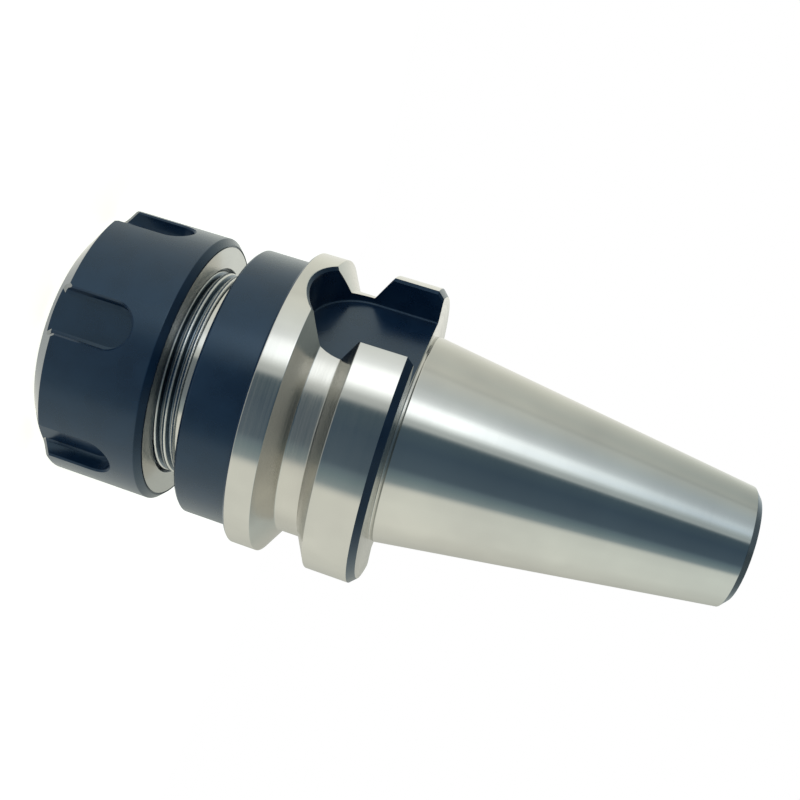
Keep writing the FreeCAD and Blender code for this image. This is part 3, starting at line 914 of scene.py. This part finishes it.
def slit_block(name, bearing, low, high):
    """A thin closed block from inside the bore to past the head, at a bearing in degrees.

    Its corners (w, u) turn about the axis: x = w cos b - u sin b, y = w sin b + u cos b."""
    section = ((SLIT_START, -HALF_SLIT), (PAST_HEAD, -HALF_SLIT),
               (PAST_HEAD, HALF_SLIT), (SLIT_START, HALF_SLIT))
    corners = np.array([(w, u, z) for z in (low, high) for w, u in section])
    angle = math.radians(bearing)
    points = np.stack([corners[:, 0] * math.cos(angle) - corners[:, 1] * math.sin(angle),
                       corners[:, 0] * math.sin(angle) + corners[:, 1] * math.cos(angle),
                       corners[:, 2]], axis=-1)
    faces = woven_faces(2, len(section), False, True)
    caps = [[3, 2, 1, 0], [4, 5, 6, 7]]
    return make_piece(name, points, faces, np.zeros(len(faces), int), [SPRING], caps)


slits = []
for number in range(SLITS):
    bearing = -90 + 360 / SLITS * number
    slits.append(slit_block(f"front_slit_{number}", bearing, COLLET_FACE - 1,
                            COLLET_BACK - SLIT_STOP))
    slits.append(slit_block(f"back_slit_{number}", bearing + 180 / SLITS,
                            COLLET_FACE + SLIT_STOP, COLLET_BACK + 1))
cut_away(collet, slits)
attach(collet, "collet_carrier")
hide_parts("collet")

# %% [markdown]
# ## The camera
#
# The photograph looks across the axis from 164 mm away, a little above the gauge plane and
# slightly towards the nut, with the camera rolled so that the taper points right and down. A
# camera could be aimed at a target and nudged until it fits. Here it is described in the holder's
# own terms, because those can be fitted: its place around and along the axis, the way it looks,
# its roll, and the sideways shift that the photograph's framing has.

# %% The directions of the view
CAMERA_BEARING = math.radians(48.09)
CAMERA_DISTANCE = 163.84
CAMERA_HEIGHT = 12.73
LOOK_DOWN = math.radians(9.931)
LOOK_ASIDE = math.radians(0.534)
CAMERA_ROLL = math.radians(18.107)

near = np.array([math.sin(CAMERA_BEARING), -math.cos(CAMERA_BEARING), 0])
aside = np.array([-math.cos(CAMERA_BEARING), -math.sin(CAMERA_BEARING), 0])
axis = np.array([0, 0, 1])
level = math.cos(LOOK_ASIDE)
forward = (-math.sin(LOOK_DOWN) * level * axis - math.cos(LOOK_DOWN) * level * near
           + math.sin(LOOK_ASIDE) * aside)
# Before the roll, right is along the axis, towards the small end, and down is across it.
flat_right = np.cross(forward, aside)
flat_right = flat_right / np.linalg.norm(flat_right) * np.sign(flat_right @ axis)
flat_down = np.cross(forward, flat_right)
flat_down = flat_down * -np.sign(flat_down @ aside)
right = flat_right * math.cos(CAMERA_ROLL) - flat_down * math.sin(CAMERA_ROLL)
down = flat_right * math.sin(CAMERA_ROLL) + flat_down * math.cos(CAMERA_ROLL)
print("the camera looks along", forward.round(3))

# %% The camera itself
camera_data = bpy.data.cameras.new("camera")
camera_data.lens = 49.18
camera_data.sensor_width = 36.0
camera_data.shift_x = 0.1
camera_data.clip_start = 0.01
camera = bpy.data.objects.new("camera", camera_data)
bpy.context.scene.collection.objects.link(camera)
place = (near * CAMERA_DISTANCE + axis * CAMERA_HEIGHT) * MM
matrix = np.eye(4)
matrix[:3] = np.stack([right, -down, -forward, place], axis=1)
camera.matrix_world = Matrix(matrix.tolist())
bpy.context.scene.camera = camera
print("camera at", (place / MM).round(1), "mm")

# %% [markdown]
# ## The light
#
# Round bright steel shows nothing but what surrounds it, so the world is the light and most of
# the look. Lamps would give small hot spots. Such a part is wrapped in white sheets instead, with
# one dark opening to look through, whose edges become the long bands on the taper. So the world
# is a plain pale studio, described by bearing around the axis.
#
# Bearings are degrees from the camera towards the side of the soft panel, and each has the light
# that comes from there: a white sheet on the far side of the opening, the opening itself, the
# bright side with the panel, and grey walls behind.

# %% The room, by bearing
BEHIND_LEFT = [(-180, "#c9cac2"), (-165, "#bcbdb4"), (-150, "#d2d3c9"), (-135, "#e4e5db")]
WHITE_SHEET = [(-105, "#f9faf0"), (-75, "#fafbf1"), (-57, "#f5f6ec"), (-54, "#e9ebe3")]
OPENING = [(-49, "#9aa8ab"), (-41, "#7f9298"), (-36, "#71838d"), (-32, "#596a77"),
           (-6, "#4b5d6c"), (9, "#52646f"), (12, "#66757d")]
BRIGHT_SIDE = [(15, "#c3caca"), (19, "#bcc4c4"), (24, "#cad4d6"), (30, "#e4f0f9"),
               (37, "#e8f2f8"), (43, "#d6dfe4"), (50, "#cad2d6"), (56, "#c6cfd2")]
GREY_WALL = [(77, "#cacec9"), (82, "#bcc0bb"), (88, "#c5c8c1"), (102, "#bec3bd"),
             (112, "#c2c6bf"), (122, "#c9ccc4"), (135, "#d6d9cf")]
BEHIND_RIGHT = [(150, "#ebece3"), (168, "#f6f6ee")]
STUDIO = BEHIND_LEFT + WHITE_SHEET + OPENING + BRIGHT_SIDE + GREY_WALL + BEHIND_RIGHT
print("the room has", len(STUDIO), "stops, and a ramp takes 32")

# %% [markdown]
# Three more things stand in the room. A soft panel beside the opening lights the taper with one
# hot band, and ends above and below, so that the flat faces don't see it. A warm sheet lies low
# on the bright side. The ceiling is darker overhead, and below, the pale table takes over.

# %% Panel, sheet and ceiling
# Each stop is a bearing or a slope, which is the height of a direction of length one.
PANEL = [(13, 0.0), (19, 0.08), (22, 0.4), (27, 1.1), (38, 1.1), (42, 0.75), (44, 0.45),
         (50, 0.2), (57, 0.04), (63, 0.0)]
PANEL_SLOPE = [(-0.32, 0.0), (-0.20, 1.0), (0.22, 1.0), (0.44, 0.0)]
SHEET = [(12, 0.0), (20, 0.3), (40, 0.15), (55, 1.0), (135, 0.9), (165, 0.0)]
SHEET_SLOPE = [(-0.22, 0.4), (0.42, 0.0)]
SHEET_COLOUR = "#fffcee"
CEILING = [(0.1, "#ffffff"), (0.4, "#f4fbff"), (0.5, "#f1f9ff"), (0.8, "#90999f")]
TABLE_COLOUR = "#f6f6ec"
TABLE_SHARE = 0.7
UNDER_TABLE_COLOUR = "#adb3b4"
print(f"panel from {PANEL[0][0]} to {PANEL[-1][0]} degrees")


# %% A ramp over a range
def light_ramp(tree, value, stops, low, high):
    """A colour or a brightness for each value: stops are placed by their share of the range."""
    share = add_node(tree, "ShaderNodeMapRange",
                     {"Value": value, "From Min": low, "From Max": high})
    ramp = add_node(tree, "ShaderNodeValToRGB", {"Fac": share.outputs[0]})
    band = ramp.color_ramp
    while len(band.elements) > 1:
        band.elements.remove(band.elements[-1])
    for index, (place, light) in enumerate(stops):
        position = (place - low) / (high - low)
        element = band.elements[0] if index == 0 else band.elements.new(position)
        element.position = position
        element.color = linear(light) if isinstance(light, str) else (light, light, light, 1)
    return ramp.outputs[0]


ROUND = (-180, 180)
UP_AND_DOWN = (-1, 1)
print("bearings", ROUND, "slopes", UP_AND_DOWN)

# %% [markdown]
# The world's texture coordinate is the direction in which a ray leaves. Its bearing is the
# arctangent of y over x, counted from the camera's, and its slope is z.

# %% Bearing and slope of a ray
world = bpy.data.worlds.new("pale_studio")
bpy.context.scene.world = world
world.use_nodes = True
sky = world.node_tree
sky.nodes.clear()
CAMERA_ANGLE = math.degrees(CAMERA_BEARING) - 90

way = add_node(sky, "ShaderNodeTexCoord").outputs["Generated"]
parts = add_node(sky, "ShaderNodeSeparateXYZ", {0: way})
angle = add_node(sky, "ShaderNodeMath", {0: parts.outputs["Y"], 1: parts.outputs["X"]},
                 operation="ARCTAN2")
turn = add_node(sky, "ShaderNodeMath",
                {0: angle.outputs[0], 1: -180 / math.pi, 2: CAMERA_ANGLE},
                operation="MULTIPLY_ADD")
bearing = add_node(sky, "ShaderNodeMath", {0: turn.outputs[0], 1: 180.0, 2: -180.0},
                   operation="WRAP").outputs[0]
slope = parts.outputs["Z"]
print(f"the camera stands at {CAMERA_ANGLE:.2f} degrees from the x axis")

# %% The room with its panel and sheet
MULTIPLY = {"data_type": "RGBA", "blend_type": "MULTIPLY"}
ADD = {"data_type": "RGBA", "blend_type": "ADD"}
room = light_ramp(sky, bearing, STUDIO, *ROUND)
panel = add_node(sky, "ShaderNodeMix",
                 {MIX_SHARE: 1.0, MIX_FIRST: light_ramp(sky, bearing, PANEL, *ROUND),
                  MIX_SECOND: light_ramp(sky, slope, PANEL_SLOPE, *UP_AND_DOWN)}, **MULTIPLY)
low_sheet = add_node(sky, "ShaderNodeMix",
                     {MIX_SHARE: 1.0, MIX_FIRST: light_ramp(sky, bearing, SHEET, *ROUND),
                      MIX_SECOND: light_ramp(sky, slope, SHEET_SLOPE, *UP_AND_DOWN)},
                     **MULTIPLY)
warm_sheet = add_node(sky, "ShaderNodeMix",
                      {MIX_SHARE: 1.0, MIX_FIRST: low_sheet.outputs[MIX_RESULT],
                       MIX_SECOND: linear(SHEET_COLOUR)}, **MULTIPLY)
with_panel = add_node(sky, "ShaderNodeMix",
                      {MIX_SHARE: 1.0, MIX_FIRST: room,
                       MIX_SECOND: panel.outputs[MIX_RESULT]}, **ADD)
studio = add_node(sky, "ShaderNodeMix",
                  {MIX_SHARE: 1.0, MIX_FIRST: with_panel.outputs[MIX_RESULT],
                   MIX_SECOND: warm_sheet.outputs[MIX_RESULT]}, **ADD)
print("world nodes with the room, the panel and the sheet:", len(sky.nodes))

# %% [markdown]
# The table and the ceiling change with the slope alone. The camera itself sees plain white, so
# the background is white without any more light on the steel.

# %% Table, ceiling and background
table_share = add_node(sky, "ShaderNodeMapRange",
                       {"Value": slope, "From Min": -0.24, "From Max": -0.46,
                        "To Min": 0.0, "To Max": TABLE_SHARE})
table = add_node(sky, "ShaderNodeMix",
                 {MIX_SHARE: table_share.outputs[0], MIX_FIRST: studio.outputs[MIX_RESULT],
                  MIX_SECOND: linear(TABLE_COLOUR)}, **MIX_COLOURS)
under_share = add_node(sky, "ShaderNodeMapRange",
                       {"Value": slope, "From Min": -0.5, "From Max": -0.7})
under = add_node(sky, "ShaderNodeMix",
                 {MIX_SHARE: under_share.outputs[0], MIX_FIRST: table.outputs[MIX_RESULT],
                  MIX_SECOND: linear(UNDER_TABLE_COLOUR)}, **MIX_COLOURS)
ceiling = light_ramp(sky, slope, CEILING, *UP_AND_DOWN)
lit = add_node(sky, "ShaderNodeMix",
               {MIX_SHARE: 1.0, MIX_FIRST: under.outputs[MIX_RESULT], MIX_SECOND: ceiling},
               **MULTIPLY)
seen = add_node(sky, "ShaderNodeLightPath").outputs["Is Camera Ray"]
shown = add_node(sky, "ShaderNodeMix",
                 {MIX_SHARE: seen, MIX_FIRST: lit.outputs[MIX_RESULT],
                  MIX_SECOND: (1, 1, 1, 1)}, **MIX_COLOURS)
background = add_node(sky, "ShaderNodeBackground",
                      {"Color": shown.outputs[MIX_RESULT], "Strength": 1.0})
add_node(sky, "ShaderNodeOutputWorld", {"Surface": background.outputs[0]})
print("world nodes in all:", len(sky.nodes))

# %% [markdown]
# ## The floor
#
# The chuck stands on the face of its nut, on white paper that sweeps away to plain white. The
# paper glows a little, so that it comes out white without more light on the steel, and keeps the
# soft shadow around the nut. It takes no part in the reflections, because the world already holds
# the pale table. It rides on the nut, on whose face the chuck stands also when the nut is
# unscrewed, and it is clear from below, so that the nut's face and the collet can be seen.

# %% White paper
PAPER_GAP = 0.02
PAPER_REACH = 3.0
NEAR_PAPER, FAR_PAPER = 0.07, 0.22

paper = new_material("white_paper_sweep")
sheet = paper.node_tree
spot = add_node(sheet, "ShaderNodeTexCoord").outputs["Object"]
away = add_node(sheet, "ShaderNodeVectorMath", {0: spot}, operation="LENGTH").outputs["Value"]
far_off = add_node(sheet, "ShaderNodeMapRange",
                   {"Value": away, "From Min": NEAR_PAPER, "From Max": FAR_PAPER})
matt = add_node(sheet, "ShaderNodeBsdfDiffuse", {"Color": linear("#e2e9ff")})
glow = add_node(sheet, "ShaderNodeEmission", {"Color": linear("#fffeed"), "Strength": 0.86})
lifted = add_node(sheet, "ShaderNodeAddShader", {0: matt.outputs[0], 1: glow.outputs[0]})
plain = add_node(sheet, "ShaderNodeEmission", {"Color": (1, 1, 1, 1), "Strength": 1.0})
sweep = add_node(sheet, "ShaderNodeMixShader",
                 {0: far_off.outputs[0], 1: lifted.outputs[0], 2: plain.outputs[0]})
underside = add_node(sheet, "ShaderNodeNewGeometry").outputs["Backfacing"]
clear = add_node(sheet, "ShaderNodeBsdfTransparent")
one_sided = add_node(sheet, "ShaderNodeMixShader",
                     {0: underside, 1: sweep.outputs[0], 2: clear.outputs[0]})
add_node(sheet, "ShaderNodeOutputMaterial", {"Surface": one_sided.outputs[0]})
print("paper from", NEAR_PAPER, "to", FAR_PAPER, "m turns plain white")

# %% The floor under the nut
paper_level = (NUT_FACE - PAPER_GAP) * MM
floor_mesh = bpy.data.meshes.new("floor")
floor_mesh.from_pydata([(-PAPER_REACH, -PAPER_REACH, paper_level),
                        (PAPER_REACH, -PAPER_REACH, paper_level),
                        (PAPER_REACH, PAPER_REACH, paper_level),
                        (-PAPER_REACH, PAPER_REACH, paper_level)], [], [(0, 1, 2, 3)])
floor_mesh.materials.append(paper)
floor = bpy.data.objects.new("floor", floor_mesh)
bpy.context.scene.collection.objects.link(floor)
floor.visible_glossy = False
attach(floor, "nut")
bpy.context.scene.view_settings.view_transform = "Standard"
print(f"floor at {paper_level / MM:.2f} mm")
